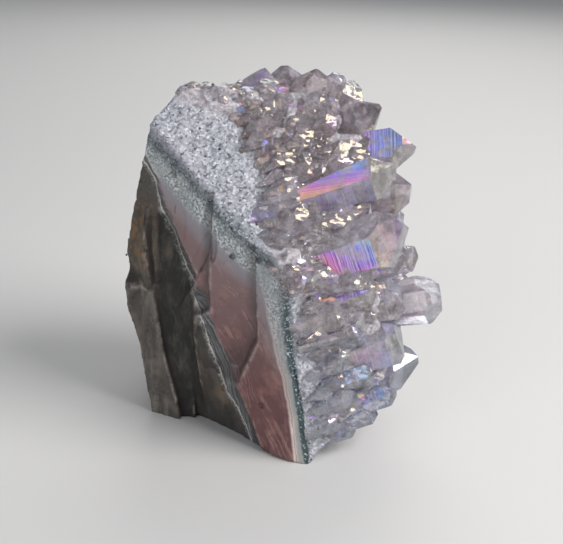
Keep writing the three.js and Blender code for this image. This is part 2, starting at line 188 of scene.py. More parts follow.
# Tip, axis, radius, length, roll and darkness; then for each face with a rainbow film, under its number:
# where along the crystal the film starts and ends, how much it slants and how strong it is.
# A strong film on a listed face is partly a real coating and partly painted reflection of light caught by
# that face.
LARGE = [
    ((9.3, 4, 100.6), (0.35, -0.1, 0.93), 6.5, 24, 0.2, 0.3, {}),
    ((-9, 10, 100.6), (0.0, 0.2, 0.97), 7, 24, 0.5, 0.85, {}),
    ((19, 5, 97.6), (0.45, 0.1, 0.88), 5.6, 24, 0.1, 0.5, {}),
    ((26, -3.5, 92), (0.8, -0.15, 0.58), 7.5, 26, 0.4, 1.0, {}),
    (
        (36, -8, 81.3), (0.98, -0.08, 0.1), 6.5, 34, 0.3, 0.2,
        {2: (0, 40, 0.2, 0.85), 12: (-8, 8, 0.5, 0.7), 3: (8, 40, 0.3, 0.4)},
    ),
    ((31, -15.5, 78), (0.92, 0.0, 0.36), 8, 36, 0.35, 0.3, {2: (-2, 40, -4.0, 1.0), 3: (-4, 60, 0.2, 0.4)}),
    (
        (36, -13, 71), (0.98, 0, 0.1), 6.8, 34, 0.1, 0.95,
        {2: (4, 60, 0, 0.25), 12: (-9, 12, 0, 0.12), 13: (-9, 12, 0, 0.12), 11: (-9, 12, 0, 0.12)},
    ),
    (
        (34.5, -21.5, 63), (0.92, 0.0, 0.35), 9, 38, 0.0, 0.65,
        {3: (6, 33, -1.2, 1.0), 12: (-9, 12, 0, 0.12), 13: (-6, 12, 0, 0.3)},
    ),
    ((34, -20, 56.5), (0.92, 0.0, 0.35), 6, 34, 0.0, 0.4, {3: (-2, 36, -0.8, 0.9)}),
    ((38.5, -8, 53), (0.85, 0.1, 0.5), 4, 30, 0.3, 0.5, {}),
    ((47.3, -17, 43), (0.95, -0.2, 0.3), 7.6, 36, 0.75, 0.2, {2: (-20, 30, 0.5, 0.12)}),
    ((35, -24, 44), (0.93, -0.1, 0.33), 5, 26, 0.1, 0.1, {}),
    ((36, -23.5, 34.5), (0.92, 0.1, 0.35), 8.5, 32, 0.1, 0.2, {3: (2, 24, 0.5, 0.4)}),
    ((40, -17, 24), (0.95, 0.0, 0.28), 8, 32, 0.45, 0.6, {}),
    ((33, -26, 18), (0.9, 0.1, 0.42), 4.2, 24, 0.1, 0.0, {2: (-3, 80, 0, 0.9)}),
    ((28, -27.5, 12.5), (0.9, 0.1, 0.42), 3.4, 24, 0.0, 0.1, {2: (-4, 60, 0, 0.8)}),
    ((22, -29, 8), (0.9, 0.1, 0.42), 3, 20, 0.2, 0.1, {2: (-4, 60, 0, 0.5)}),
    ((14.5, 8, 99.4), (0.3, 0.1, 0.92), 5, 22, 0.3, 0.6, {}),
    ((0.5, 12, 100.8), (0.1, 0.1, 0.95), 5, 22, 0.1, 0.4, {}),
    ((26, -28.5, 49), (0.92, 0.0, 0.4), 4.6, 22, 0.3, 0.3, {2: (-4, 26, -1.0, 0.8)}),
    ((18, -31, 43.5), (0.9, 0.05, 0.4), 3.8, 18, 0.0, 0.2, {}),
    ((24, -29.5, 37.5), (0.92, 0.1, 0.3), 4.4, 20, 0.5, 0.45, {}),
    ((20, -31.5, 31), (0.9, 0.0, 0.45), 3.8, 18, 0.2, 0.1, {}),
    ((27, -30, 26), (0.93, 0.1, 0.3), 4.2, 20, 0.4, 0.2, {2: (-2, 70, 0, 0.5)}),
    ((21, -32, 20), (0.9, 0.05, 0.42), 3.6, 18, 0.1, 0.05, {}),
    ((17, -33.5, 12.5), (0.9, 0.1, 0.4), 3, 16, 0.3, 0.0, {}),
]
# Where the rest of the crust ends, from the upper left over the top to the foot: place (x, z), the
# direction in which crystals grow there and how big they are.
CREST = [
    ((-30, 92), (-0.3, 0.95), 3.4),
    ((-16, 95.5), (0.0, 1.0), 4.0),
    ((-2, 97), (0.2, 1.0), 4.4),
    ((11, 96.5), (0.4, 0.9), 4.6),
    ((22, 92), (0.7, 0.7), 4.8),
    ((32, 81), (0.9, 0.4), 5.2),
    ((35.5, 66), (0.96, 0.28), 5.6),
    ((37, 52), (0.96, 0.28), 5.6),
    ((38.5, 38), (0.97, 0.22), 5.4),
    ((33, 24), (0.97, 0.15), 4.8),
    ((24, 11), (0.97, 0.05), 4.2),
]
FRONT = Vector((-0.09, -0.95, 0.3))  # the side on which nothing small stands in front of a large crystal
FULL_FILM = 1  # strength of the films that are kept clear over CLEAR_LENGTH, measured from the tip
CLEAR_LENGTH = 22
BACK_SLOPE = 0.2  # the top falls towards the back
CREST_FRONT, CREST_BACK = -30, 31
# Crystals over the whole crest: how many, how deep below it their tips lie, and their share of its size.
CROPS = [(92, 2, 1.0), (200, 5, 0.62)]
SPREAD_U, SPREAD_V = 0.7548776662, 0.569840291  # irrational steps that spread points evenly

# The crust is granular up to here, and crystal beyond it: height and place along X.
GRANULAR_TO = [
    (0, 14),
    (12, 14),
    (30, 10.5),
    (44, 5),
    (53, 0),
    (60, -4),
    (75, -3),
    (82, -7),
    (88, -16),
    (92, -32),
    (94, -60),
]

# Crystals broken through, over a whole break: corner, two sides, outward direction, axis at the corner
# and at the end of the second side, radius at the start and at the end of the first side, and count.
BREAKS = [
    (
        (-20, -35, 48), (54, 1.3, 0), (0, 32.8, 45),
        (0, -0.81, 0.59), (0.92, 0.1, 0.36), (0.5, 0.1, 0.8), 1.8, 4.2, 480,
    ),
    (
        (6, -37.2, 2), (26, 6.7, 0), (0, 6.5, 52),
        (0.25, -0.96, 0.12), (0.9, 0.15, 0.3), (0.92, 0.15, 0.4), 1.2, 4.2, 300,
    ),
    (
        (-32, -2, 93.5), (32, 0, 0.8), (3, 32, -6.8),
        (0, 0, 1), (0.0, -0.3, 1), (0.0, 0.3, 1), 1.8, 3.6, 120,
    ),
    (
        (12, 36.5, 8), (14, -10.8, 0), (0, -14, 74),
        (0.6, 0.78, 0.15), (0.9, 0.2, 0.2), (0.7, 0.2, 0.6), 1.6, 3.4, 70,
    ),
]


def wobble(a, b, c):
    """A number from 0 to 1 that looks random and is the same in every run: large multipliers scatter it."""
    s = np.sin(a * 127.1 + b * 311.7 + c * 74.7) * 43758.5453
    return s - np.floor(s)


def noise(points, wave, seed, stretch=1.0):
    """Value noise, from -1 to 1, at each point; stretch draws it out along Z."""
    scaled = points / (wave, wave, wave * stretch)
    cell = np.floor(scaled)
    share = scaled - cell
    share = share * share * (3 - 2 * share)
    total = np.zeros(len(points))
    for corner in range(8):
        step = np.array([corner & 1, (corner >> 1) & 1, corner >> 2])
        weight = np.prod(np.where(step, share, 1 - share), axis=1)
        near = cell + step
        total += weight * wobble(near[:, 0] + seed * 17.3, near[:, 1], near[:, 2])
    return 2 * total - 1


def chips(points, size, seed):
    """Height of a surface broken into tilted flats: each point belongs to its nearest of many centres."""
    scaled = points / size
    cell = np.floor(scaled)
    best = np.full(len(points), np.inf)
    height = np.zeros(len(points))
    for corner in range(27):
        near = cell + (corner % 3 - 1, corner // 3 % 3 - 1, corner // 9 - 1)
        draw = lambda c: wobble(near[:, 0] + seed, near[:, 1] + 0.37 * c, near[:, 2] + c)
        offset = scaled - near - np.stack([draw(1), draw(2), draw(3)], axis=1)
        distance = np.sum(offset * offset, axis=1)
        tilt = np.stack([draw(4), draw(5), draw(6)], axis=1) - 0.5
        flat = np.sum(offset * tilt, axis=1) + 0.5 * (draw(7) - 0.5)
        nearer = distance < best
        best = np.where(nearer, distance, best)
        height = np.where(nearer, flat, height)
    return height


def smoothstep(low, high, value):
    """0 below low, 1 above high, smooth between; either way round."""
    share = np.clip((value - low) / (high - low), 0, 1)
    return share * share * (3 - 2 * share)


# ---- solids ----
def put(name, mesh):
    """Adds an object with this mesh to the scene."""
    item = bpy.data.objects.new(name, mesh)
    bpy.context.scene.collection.objects.link(item)
    return item


def evaluated(item):
    """The item's mesh with its modifiers applied, in place of the item."""
    graph = bpy.context.evaluated_depsgraph_get()
    mesh = bpy.data.meshes.new_from_object(item.evaluated_get(graph))
    discard(item)
    return mesh


def discard(item):
    """Removes an object, and its mesh where nothing else uses it."""
    mesh = item.data
    bpy.data.objects.remove(item)
    if not mesh.users:
        bpy.data.meshes.remove(mesh)


def polyhedron(faces):
    """A blank cut back to the faces given."""
    shape = bmesh.new()
    bmesh.ops.create_cube(shape, size=BLANK)
    for at, out in faces:
        everything = shape.verts[:] + shape.edges[:] + shape.faces[:]
        cut = bmesh.ops.bisect_plane(
            shape, geom=everything, plane_co=at, plane_no=out, clear_outer=True, dist=1e-6
        )
        rim = [edge for edge in cut["geom_cut"] if isinstance(edge, bmesh.types.BMEdge)]
        if rim:
            bmesh.ops.edgeloop_fill(shape, edges=rim)
    mesh = bpy.data.meshes.new("cut")
    shape.to_mesh(mesh)
    shape.free()
    return mesh


def combined(mesh, operation, tools):
    """Joins, cuts or trims a solid by several others."""
    body = put("body", mesh.copy())
    group = bpy.data.collections.new("tools")
    for tool in tools:
        group.objects.link(bpy.data.objects.new("tool", tool))
    change = body.modifiers.new("change", "BOOLEAN")
    change.solver = "MANIFOLD"
    change.operation = operation
    change.operand_type = "COLLECTION"
    change.collection = group
    result = evaluated(body)
    for item in list(group.objects):
        bpy.data.objects.remove(item)
    bpy.data.collections.remove(group)
    return result


def remeshed(mesh, size):
    """The same solid in small, even faces."""
    body = put("body", mesh.copy())
    even = body.modifiers.new("even", "REMESH")
    even.mode = "VOXEL"
    even.voxel_size = size
    return evaluated(body)


def points_of(mesh):
    points = np.empty(len(mesh.vertices) * 3)
    mesh.vertices.foreach_get("co", points)
    return points.reshape(-1, 3)


def moved(mesh, points):
    """The mesh with its points put at new places."""
    mesh.vertices.foreach_set("co", points.ravel())
    mesh.update()
    return mesh


def weathering(points):
    """How far broken rock has shifted each point; the base stays flat."""
    shift = np.zeros_like(points)
    lift = np.clip(points[:, 2] / 4, None, 1)
    for scale, (wave, height) in enumerate(ROUGH):
        for axis in range(3):
            held = lift if axis == 2 else 1
            shift[:, axis] += held * height * noise(points, wave, scale * 3 + axis, 1.5)
    return shift


def beyond(faces, points):
    """Distance past a convex solid's surface, negative inside."""
    return np.max([(points - at) @ (np.array(out) / np.linalg.norm(out)) for at, out in faces], axis=0)


def past_granular(points):
    """How far a point lies past the granular part of the crust."""
    heights, starts = zip(*GRANULAR_TO)
    return points[:, 0] - np.interp(points[:, 2], heights, starts)


def strata(points):
    """Height above the agate's two surfaces: over the rind, and over the agate."""
    settled = points - weathering(points)
    return beyond(UNDER_AGATE, settled), beyond(UNDER_QUARTZ, settled)


def relief(points):
    """Fine relief of the broken surfaces: ridged rind, smooth agate, grainy quartz."""
    over_rind, over_agate = strata(points)
    hollow = hollow_share(points)
    ridges = (
        1.1 * chips(points, (5, 5, 16), 21)
        + 0.5 * noise(points, 4, 22, 5)
        + 0.12 * noise(points, 1.7, 23)
    )
    ridges *= 1 - 0.65 * hollow
    glassy = 0.7 * chips(points, (7, 7, 10), 24) + 0.12 * noise(points, 1.7, 25)
    grainy = (
        0.55 * chips(points, (2.6, 2.6, 2.6), 26)
        + 0.35 * noise(points, 5, 28)
        + 0.15 * noise(points, 1.3, 27)
    )
    grown = smoothstep(-1, 2, past_granular(points))
    grainy += grown * (2.6 * chips(points, (9, 5, 5), 29) + 0.15 * noise(points, 1.7, 30) - grainy)
    agate = smoothstep(-0.8, 0.8, over_rind)
    quartz = smoothstep(-0.8, 0.8, over_agate)
    height = ridges * (1 - agate) + glassy * agate * (1 - quartz) + grainy * quartz
    return height * np.clip(points[:, 2] / 2, 0, 1)


def hollow_share(points):
    """1 in the dark hollow of the rind, 0 outside it."""
    return smoothstep(1.0, 0.1, beyond(HOLLOW_CUT, points - weathering(points)))


def rock_layers():
    """The wall's three layers, broken along the same surfaces so that they meet."""
    wall = combined(polyhedron(WALL), "DIFFERENCE", [polyhedron(faces) for faces in SET_BACK])
    wall = combined(wall, "UNION", [polyhedron(faces) for faces in PROUD])
    wall = combined(wall, "INTERSECT", [polyhedron([((0, 0, 0), (0, 0, -1))])])
    wall = combined(remeshed(wall, ROCK_GRAIN), "DIFFERENCE", [pit(*place) for place in PITS])
    points = points_of(wall)
    normals = np.empty(len(wall.vertices) * 3)
    wall.vertices.foreach_get("normal", normals)
    rough = points + weathering(points) + relief(points)[:, None] * normals.reshape(-1, 3)
    rough[:, 2] = np.where(points[:, 2] < 0.35 * ROCK_GRAIN, 0, rough[:, 2])
    moved(wall, rough)

    under_agate, under_quartz = (layer_solid(faces) for faces in (UNDER_AGATE, UNDER_QUARTZ))
    rind = combined(wall, "INTERSECT", [under_agate])
    agate = combined(combined(wall, "INTERSECT", [under_quartz]), "DIFFERENCE", [under_agate])
    quartz = combined(wall, "DIFFERENCE", [under_quartz])
    return rind, agate, quartz, under_quartz


def layer_solid(faces):
    """What lies below a surface between two layers: weathered like the wall, and larger all round."""
    room = [
        ((0, 0, -12), (0, 0, -1)),
        ((-60, 0, 0), (-1, 0, 0)),
        ((0, -50, 0), (0, -1, 0)),
        ((0, 50, 0), (0, 1, 0)),
    ]
    mesh = remeshed(polyhedron(list(faces) + room), LAYER_GRAIN)
    points = points_of(mesh)
    return moved(mesh, points + weathering(points))


def pit(middle, radius):
    """A rounded hole to cut out of the wall."""
    shape = bmesh.new()
    bmesh.ops.create_icosphere(shape, subdivisions=3, radius=1)
    bmesh.ops.scale(shape, vec=radius, verts=shape.verts)
    bmesh.ops.translate(shape, vec=middle, verts=shape.verts)
    mesh = bpy.data.meshes.new("pit")
    shape.to_mesh(mesh)
    shape.free()
    return mesh


# ---- crystals ----
class Crystal:
    """A six-sided prism with a six-sided point, its faces at uneven distances from the axis.

    The faces are kept in this order: the root, the prism face and the point's face of each side in turn,
    the worn tip, and the cleft where a break has cut the crystal through.
    """

    def __init__(
        self, tip, axis, radius, length, roll, seed, taper=TAPER, dark=None, films=None, cleft=None
    ):
        self.tip = Vector(tip)
        self.along = Vector(axis).normalized()
        self.radius = radius
        self.seed = seed
        self.films = films or {}
        self.broken = cleft is not None
        self.dark = wobble(seed, 1, 9) if dark is None else dark
        across = Vector((0, 0, 1)).cross(self.along).normalized()
        across.rotate(Matrix.Rotation(roll, 3, self.along))
        self.faces = [(self.tip - self.along * length, -self.along)]
        for side in range(6):
            out = Matrix.Rotation(side * math.pi / 3, 3, self.along) @ across
            reach = radius * (1 + UNEVEN * (2 * wobble(seed, side, 1) - 1))
            wall = out * math.cos(taper) - self.along * math.sin(taper)
            self.faces.append((self.tip + out * reach, wall))
            slope = out * math.cos(POINT_SLOPE) + self.along * math.sin(POINT_SLOPE)
            lift = 0 if side % 2 else 0.35 * radius * wobble(seed, side, 2)
            self.faces.append((self.tip + self.along * lift, slope))
        worn = self.along + 0.9 * Vector([float(wobble(seed, axis, 5)) - 0.5 for axis in (1, 2, 3)])
        blunt = radius * (BLUNT[0] + (BLUNT[1] - BLUNT[0]) * wobble(seed, 4, 5))
        self.faces.append((self.tip - self.along * blunt, worn.normalized()))
        if cleft:
            self.faces.append(cleft)

    def coat(self, index):
        """Start, end, slant and strength of the film on a face."""
        side, sloped = (index - 1) // 2, (index - 1) % 2
        key = side + ON_POINT * sloped
        if key in self.films:
            return self.films[key]
        # Other faces carry a faint film, and some of them a stronger one, mostly on whole points.
        start = -16 * wobble(self.seed, side, 8)
        most = 0.8 if self.radius < 2 else 0.4
        scarce = 0.6 if sloped and not self.broken else 0.92
        strength = 0.06 + most * smoothstep(scarce, 0.99, wobble(self.seed, key, 7))
        return start, start + 16 + 3 * self.radius, 2 * wobble(self.seed, key, 6) - 1, strength


def large_crystals():
    """The crystals that are placed one by one."""
    for seed, (tip, axis, radius, length, roll, dark, films) in enumerate(LARGE):
        yield Crystal(tip, axis, radius, length, roll, seed, dark=dark, films=films)


def on_crest(share):
    """Place, direction of growth and size at a share of the way along the crest."""
    place = share * (len(CREST) - 1)
    index = min(int(place), len(CREST) - 2)
    rest = place - index
    (at, grow, size), (next_at, next_grow, next_size) = CREST[index], CREST[index + 1]
    mix = lambda a, b: a + (b - a) * rest
    return (
        (mix(at[0], next_at[0]), mix(at[1], next_at[1])),
        (mix(grow[0], next_grow[0]), mix(grow[1], next_grow[1])),
        mix(size, next_size),
    )


def in_crust(y, z):
    """Whether crystals grow this far back at this height: the crust narrows towards the top."""
    return -27 + max(0, z - 60) * 0.74 <= y <= 33 - max(0, z - 70) * 0.5


def crest_crystals():
    """Whole crystals spread over the crest, the outermost first."""
    for crop, (count, depth, share_of_size) in enumerate(CROPS):
        for n in range(count):
            seed = 100 + 900 * crop + n
            vary = lambda c: wobble(seed, c, 3) - 0.5
            (x, z), (grow_x, grow_z), size = on_crest((0.5 + n * SPREAD_U) % 1)
            y = CREST_FRONT + (CREST_BACK - CREST_FRONT) * ((0.5 + n * SPREAD_V) % 1)
            if not in_crust(y, z):
                continue
            sink = depth + 3.5 * abs((y - 2) / 30) ** 3 + 2.5 * vary(5)
            fall = BACK_SLOPE * max(0, y + 5) * max(0, grow_z)
            yield Crystal(
                (x - grow_x * sink, y, z - grow_z * sink - fall),
                (grow_x + 0.4 * vary(6), 0.006 * y + 0.5 * vary(7), grow_z + 0.4 * vary(8)),
                size * share_of_size * (1 + 0.7 * vary(9)),
                20,
                wobble(seed, 10, 3),
                seed,
            )


def crest_reach(height):
    """How far along X the crust reaches at a height."""
    outline = sorted((z, x) for (x, z), _, _ in CREST[2:])
    return np.interp(height, *zip(*outline))


def broken_crystals():
    """Crystals that a break has cut through.

    They leave the granular part bare, with a ragged edge. None starts off the wall, or close to the crest
    or the slanting foot.
    """
    for number, (corner, u, v, out, first, last, narrow, wide, count) in enumerate(BREAKS):
        for n in range(count):
            seed = 4000 + 500 * number + n
            vary = lambda c: float(wobble(seed, c, 4)) - 0.5
            s, t = (0.5 + n * SPREAD_U) % 1, (0.5 + n * SPREAD_V) % 1
            radius = (narrow + (wide - narrow) * s) * (1 + 0.8 * vary(5))
            place = Vector(corner) + s * Vector(u) + t * Vector(v)
            reach = min(crest_reach(place.z) - 5, 11 + 1.15 * place.z)
            at = np.array([place])
            if past_granular(at)[0] < 2 + 4 * vary(11) or beyond(WALL, at)[0] > 1 or place.x > reach:
                continue
            rise = 0.35 + 0.7 * vary(1)
            astray = 0.3 * Vector((vary(2), vary(3), vary(4)))
            axis = (Vector(first).lerp(Vector(last), t * t) + astray).normalized()
            lean = (Vector(out) + 0.7 * Vector((vary(7), vary(8), vary(9)))).normalized()
            cleft = (place + (rise + 0.3 + 0.5 * vary(10)) * radius * Vector(out), lean)
            tip = place + rise * radius * Vector(out) + 0.7 * radius * axis
            yield Crystal(tip, axis, radius, 6 + 3 * radius, vary(6), seed, LENGTHWISE_TAPER, cleft=cleft)


def hides_large_crystal(crystal):
    """Whether a crystal would stand in front of a large one where that stands out of the breaks."""
    for tip, axis, radius, _, _, _, films in LARGE:
        along = Vector(axis).normalized()
        bright = any(strength == FULL_FILM for _, _, _, strength in films.values())
        reach = CLEAR_LENGTH if bright else 1.8 * radius
        for back in range(5):
            inward = Vector(tip) - crystal.tip + crystal.along * back * crystal.radius * 0.8
            depth = inward.dot(along)
            middle = Vector(tip) - depth * along
            aside = inward - depth * along
            sideways = (aside - aside.dot(FRONT) * FRONT).length
            stands_out = beyond(BROKEN_SIDES, np.array([middle]))[0] > -0.75 * radius
            in_front = crystal.radius - aside.dot(FRONT) > 0.6 * radius
            if stands_out and in_front and -1 < depth < reach and sideways < 0.65 * radius:
                return True
    return False


def crystal_mesh(crystals, under_quartz):
    """All crystals joined, with what the finish needs to know stored on the faces and their corners."""
    solids = [polyhedron(crystal.faces) for crystal in crystals]
    mesh = combined(solids[0], "UNION", solids[1:])
    mesh = combined(mesh, "DIFFERENCE", [under_quartz, polyhedron([((0, 0, 0), (0, 0, 1))])])

    # Every face of the joined mesh lies in a face of one crystal. Its normal, drawn out to a length that
    # tells how far off its plane lies, finds that crystal again; BLANK keeps the length above zero.
    planes = [
        (crystal, index, at, out)
        for crystal in crystals
        for index, (at, out) in enumerate(crystal.faces)
    ]
    tree = kdtree.KDTree(len(planes))
    for number, (_, _, at, out) in enumerate(planes):
        normal = Vector(out).normalized()
        tree.insert(normal * (normal.dot(at) + BLANK), number)
    tree.balance()

    marks = {
        name: mesh.attributes.new(name, "FLOAT", "CORNER") for name in ("from_tip", "streak", "film")
    }
    flats = {
        name: mesh.attributes.new(name, "FLOAT", "FACE") for name in ("coating", "dark", "prism", "small")
    }
    for face in mesh.polygons:
        normal = face.normal
        _, number, _ = tree.find(normal * (normal.dot(face.center) + BLANK))
        crystal, index, _, out = planes[number]
        start, end, slant, strength = crystal.coat(index)
        sideways = crystal.along.cross(out)
        flats["coating"].data[face.index].value = strength
        flats["dark"].data[face.index].value = crystal.dark
        flats["small"].data[face.index].value = smoothstep(6.5, 3.5, crystal.radius)
        flats["prism"].data[face.index].value = index % 2 if index <= LAST_SIDE_FACE else 0
        for corner in face.loop_indices:
            inward = crystal.tip - mesh.vertices[mesh.loops[corner].vertex_index].co
            depth = inward.dot(crystal.along)
            across = depth + slant * inward.dot(sideways)
            marks["from_tip"].data[corner].value = depth
            # Streaks cross the crystal, and follow the film only where that slants steeply.
            marks["streak"].data[corner].value = across if abs(slant) > 2 else depth
            marks["film"].data[corner].value = (across - start) / (end - start)
    return mesh


# ---- materials ----
class Amount:
    """A value in a material: arithmetic on it adds the nodes that work it out."""

    def __init__(self, finish, socket):
        self.finish = finish
        self.socket = socket

    def math(self, operation, *values):
        return self.finish.node("Math", {"operation": operation}, dict(enumerate(values)))

    def __add__(self, other):
        return self.math("ADD", self, other)

    def __sub__(self, other):
        return self.math("SUBTRACT", self, other)

    def __rsub__(self, other):
        return self.math("SUBTRACT", other, self)

    def __mul__(self, other):
        return self.math("MULTIPLY", self, other)

    def __truediv__(self, other):
        return self.math("DIVIDE", self, other)

    def __rtruediv__(self, other):
        return self.math("DIVIDE", other, self)

    __radd__ = __add__
    __rmul__ = __mul__

    def step(self, low, high):
        """0 below low, 1 above high, smooth between; either way round."""
        ends = {"Value": self, "From Min": low, "From Max": high}
        return self.finish.node("MapRange", {"interpolation_type": "SMOOTHSTEP"}, ends)

    def capped(self):
        """The value, and 1 where it is more than 1."""
        return self.math("MINIMUM", self, 1.0)

    def near(self, middle, width):
        """1 at middle, falling to 0 at width either side."""
        return self.math("ABSOLUTE", self - middle).step(width, 0)


class Finish:
    """A material under construction."""

    def __init__(self, name):
        self.material = bpy.data.materials.new(name)
        self.material.use_nodes = True
        self.tree = self.material.node_tree
        self.tree.nodes.clear()

    def node(self, kind, settings=None, sockets=None, output=0):
        """Adds a node: its type, its settings, and the values or links of its sockets."""
        node = self.tree.nodes.new("ShaderNode" + kind)
        for key, value in (settings or {}).items():
            if key == "stops":
                self.set_stops(node.color_ramp, value)
            else:
                setattr(node, key, value)
        for key, value in (sockets or {}).items():
            if isinstance(value, Amount):
                self.tree.links.new(value.socket, node.inputs[key])
            else:
                node.inputs[key].default_value = value
        return Amount(self, node.outputs[output])

    @staticmethod
    def set_stops(ramp, stops):
        while len(ramp.elements) < len(stops):
            ramp.elements.new(1)
        for element, (place, colour) in zip(ramp.elements, stops):
            element.position = place
            element.color = (*colour, 1)

    def place(self):
        """Position on the piece, in millimetres."""
        metres = self.node("TexCoord", output="Object")
        return self.node("VectorMath", {"operation": "SCALE"}, {0: metres, "Scale": 1 / MM})

    def noise(self, point, size, detail=3, rough=0.55, distort=0.0):
        """Cloudy values around 0.5, in patches of about this size in millimetres."""
        values = {
            "Vector": point,
            "Scale": 1 / size,
            "Detail": detail,
            "Roughness": rough,
            "Distortion": distort,
        }
        return self.node("TexNoise", {}, values, "Fac")

    def stripes(self, along, detail):
        """Cloudy values that change along one value only."""
        values = {"W": along, "Scale": 1.0, "Detail": detail}
        return self.node("TexNoise", {"noise_dimensions": "1D"}, values, "Fac")

    def grains(self, point, size):
        """A colour of its own for each grain of about this size in millimetres."""
        return self.node("TexVoronoi", {}, {"Vector": point, "Scale": 1 / size}, "Color")

    def channel(self, colour, name):
        return self.node("SeparateColor", {}, {0: colour}, name)

    def maximum(self, first, second):
        return self.node("Math", {"operation": "MAXIMUM"}, {0: first, 1: second})

    def stretched(self, point, scale):
        return self.node("VectorMath", {"operation": "MULTIPLY"}, {0: point, 1: scale})

    def height(self, point):
        return self.node("SeparateXYZ", {}, {0: point}, "Z")

    def along(self, point, direction):
        """How far a place lies along a direction."""
        return self.node("VectorMath", {"operation": "DOT_PRODUCT"}, {0: point, 1: direction}, "Value")

    def mark(self, name):
        """What the mesh stores under this name."""
        return self.node("Attribute", {"attribute_name": name}, output="Fac")

    def mix(self, share, first, second, blend="MIX"):
        settings = {"data_type": "RGBA", "blend_type": blend}
        return self.node("Mix", settings, {0: share, 6: solid(first), 7: solid(second)}, 2)

    def ramp(self, share, stops, blend="LINEAR"):
        node = self.node("ValToRGB", {"stops": stops}, {"Fac": share})
        node.socket.node.color_ramp.interpolation = blend
        return node

    def bump(self, height, strength, distance, below=None):
        values = {"Height": height, "Strength": strength, "Distance": distance * MM}
        if below:
            values["Normal"] = below
        return self.node("Bump", {}, values)

    def tilted(self, normal, grains, amount):
        """A normal turned another way on each grain."""
        turned = self.node("VectorMath", {"operation": "SUBTRACT"}, {0: grains, 1: (0.5, 0.5, 0.5)})
        spread = self.node("VectorMath", {"operation": "SCALE"}, {0: turned, "Scale": amount})
        leaning = self.node("VectorMath", {"operation": "ADD"}, {0: normal, 1: spread})
        return self.node("VectorMath", {"operation": "NORMALIZE"}, {0: leaning})

    def close(self, shader, volume=None):
        """Finishes the material with its shader and what fills the piece."""
        output = self.tree.nodes.new("ShaderNodeOutputMaterial")
        self.tree.links.new(shader.socket, output.inputs["Surface"])
        if volume:
            self.tree.links.new(volume.socket, output.inputs["Volume"])
        return self.material


def solid(colour):
    """A colour as a socket takes it, or the link it comes from."""
    return colour if isinstance(colour, Amount) else (*colour, 1)


BASALT = (0.08, 0.072, 0.064)
DARK_BASALT = (0.09, 0.08, 0.068)
BROWN = (0.045, 0.038, 0.032)
TAN = (0.27, 0.24, 0.2)
TAWNY = (0.3, 0.24, 0.2)
PALE_CRUMBS = (0.42, 0.4, 0.36)
SOOT = (0.035, 0.033, 0.03)
HOLLOW = (0.015, 0.016, 0.014)
HOLLOW_DUST = (0.16, 0.15, 0.125)
RUST = (0.2, 0.12, 0.06)
SLATE = (0.068, 0.073, 0.078)
PALE_GREY = (0.42, 0.43, 0.42)
WHITE_VEIN = (0.66, 0.62, 0.58)
SALT_DARK = (0.12, 0.125, 0.12)
SALT_PALE = (0.5, 0.5, 0.47)
PINK = (0.155, 0.056, 0.056)
DUSKY_PINK = (0.27, 0.18, 0.18)
WARM_RED = (0.36, 0.17, 0.14)
DEEP_RED = (0.1, 0.035, 0.04)
LILAC_GREY = (0.33, 0.32, 0.35)
PALE_PINK = (0.48, 0.3, 0.27)
PALE_EDGE_HIGHLIGHT = (0.8, 0.68, 0.6)
FOOT_SHADE = (0.03, 0.02, 0.02)
TEAL = (0.035, 0.065, 0.075)
TEAL_SPECK = (0.6, 0.64, 0.66)
GREEN_GREY = (0.37, 0.4, 0.4)
GREEN_DARK = (0.2, 0.23, 0.23)
GREEN_PALE = (0.72, 0.74, 0.76)
MASSIVE_SHADE = (0.3, 0.27, 0.29)
MASSIVE_LIGHT = (0.56, 0.53, 0.57)
SUGAR_SHADE = (0.4, 0.41, 0.46)
SUGAR_LIGHT = (0.51, 0.51, 0.56)
SUGAR_PATCH = (0.24, 0.24, 0.29)
BRIGHT_GRAIN = (0.85, 0.84, 0.88)
DARK_GRAIN = (0.16, 0.15, 0.19)

# Pale borders of the agate under the quartz: place, as a share of BORDER_DEPTH, and colour.
BORDER_DEPTH = 8
BORDERS = [
    (0.10, SLATE),
    (0.17, PALE_GREY),
    (0.30, (0.5, 0.47, 0.44)),
    (0.33, WHITE_VEIN),
    (0.36, PALE_PINK),
    (0.41, WHITE_VEIN),
    (0.46, PALE_PINK),
    (0.52, (0, 0, 0)),
]


def rind_colour(finish, point):
    """Ridged brown-grey rock with pale crumbs, rust at the knob, and the dark hollow."""
    streaked = finish.stretched(point, (1, 1, 0.2))
    ridges = finish.noise(streaked, 4.5, 4, 0.6)
    colour = finish.mix(ridges.step(0.38, 0.62), DARK_BASALT, BASALT)
    colour = finish.mix(ridges.step(0.46, 0.66) * 0.6, colour, TAN)
    colour = finish.mix(finish.noise(point, 0.9, 4, 0.7).step(0.56, 0.72) * 0.3, colour, PALE_CRUMBS)
    colour = finish.mix(finish.noise(point, 1.3, 4, 0.7).step(0.46, 0.34) * 0.6, colour, SOOT)
    colour = finish.mix(finish.noise(point, 14, 2).step(0.5, 0.65) * 0.5, colour, TAWNY)
    block = finish.mix(ridges.step(0.35, 0.65), BROWN, BASALT)
    colour = finish.mix(finish.mark("block") * 0.85, colour, block)
    rusty = finish.maximum(finish.mark("knob"), finish.noise(point, 11, 3).step(0.6, 0.7) * 0.5)
    colour = finish.mix(rusty * finish.noise(point, 2.4, 4, 0.6).step(0.42, 0.58), colour, RUST)
    cloudy = finish.noise(finish.stretched(point, (1, 1, 0.35)), 4, 5, 0.7)
    hollow = finish.mix(cloudy.step(0.45, 0.7) * 0.5, HOLLOW, HOLLOW_DUST)
    return finish.mix(finish.mark("hollow") * 0.92, colour, hollow)


